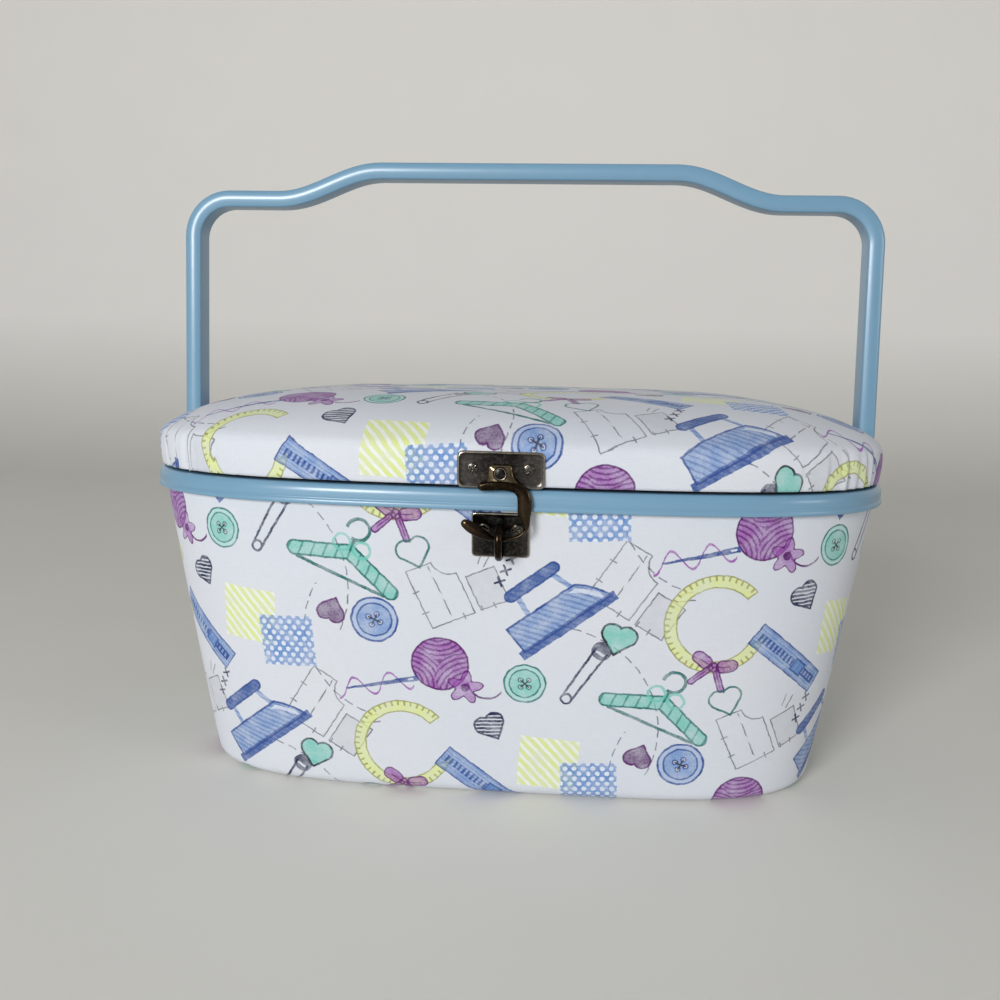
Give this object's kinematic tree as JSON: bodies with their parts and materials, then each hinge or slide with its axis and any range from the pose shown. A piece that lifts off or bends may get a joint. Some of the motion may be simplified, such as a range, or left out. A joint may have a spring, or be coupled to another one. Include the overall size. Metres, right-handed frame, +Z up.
{
  "type": "sewing basket",
  "caption": "Fabric-covered sewing basket with a padded hinged lid, hook latch, moulded rim, fold-down carrying handle and lift-out tray.",
  "frame": {"origin": "centre of the underside, on the surface the basket stands on", "axes": "+X to the right along the long side, -Y out of the front with the latch, +Z up"},
  "size_m": [0.3422, 0.2627, 0.2725],
  "materials": {
    "board": "bare hardboard",
    "print_fabric": "printed cotton weave on a white-lilac ground",
    "base_fabric": "plain grey backing cloth",
    "lining_fabric": "plain white lining cloth",
    "padding": "polyester wadding",
    "cushion_fabric": "teal cotton",
    "blue_plastic": "light blue moulding, soft gloss",
    "tray_plastic": "pale satin moulding",
    "bronze": "antique bronze",
    "brass_screws": "worn antique brass",
    "pivot_steel": "plain steel"
  },
  "bodies": {
    "case": {"side_wall": "board", "floor_board": "board", "side_cover": "print_fabric", "floor_cover": "base_fabric", "lining": "lining_fabric", "rim": "blue_plastic", "pivot_pins": "pivot_steel", "catch_plate": "bronze", "staple": "bronze", "catch_screws": "brass_screws", "hinge_lower_leaves": "bronze", "hinge_pins": "pivot_steel", "hinge_lower_screws": "brass_screws"},
    "lid": {"lid_board": "board", "lid_padding": "padding", "lid_cover": "print_fabric", "lid_lining": "lining_fabric", "pincushion": "cushion_fabric", "lid_pocket": "lining_fabric", "keeper_plate": "bronze", "hook_rivet": "brass_screws", "keeper_screws": "brass_screws", "hinge_upper_leaves": "bronze", "hinge_upper_screws": "brass_screws"},
    "hook": {"hook": "bronze"},
    "handle": {"handle": "blue_plastic"},
    "tray": {"tray": "tray_plastic"}
  },
  "joints": [
    {"name": "lid_open", "type": "hinge", "parent": "case", "child": "lid", "pos_m": [0, 0.1275, 0.1336], "axis": [-1, 0, 0], "range_deg": [0, 30]},
    {"name": "hook_swing", "type": "hinge", "parent": "lid", "child": "hook", "pos_m": [0, -0.1268, 0.1392], "axis": [0, -1, 0], "range_deg": [0, 80]},
    {"name": "handle_swing", "type": "hinge", "parent": "case", "child": "handle", "pos_m": [0, 0, 0.1255], "axis": [1, 0, 0], "range_deg": [-115, 115]},
    {"name": "tray_lift", "type": "slide", "parent": "case", "child": "tray", "axis": [0, 0, 1], "range_m": [0, 0.008]}
  ]
}
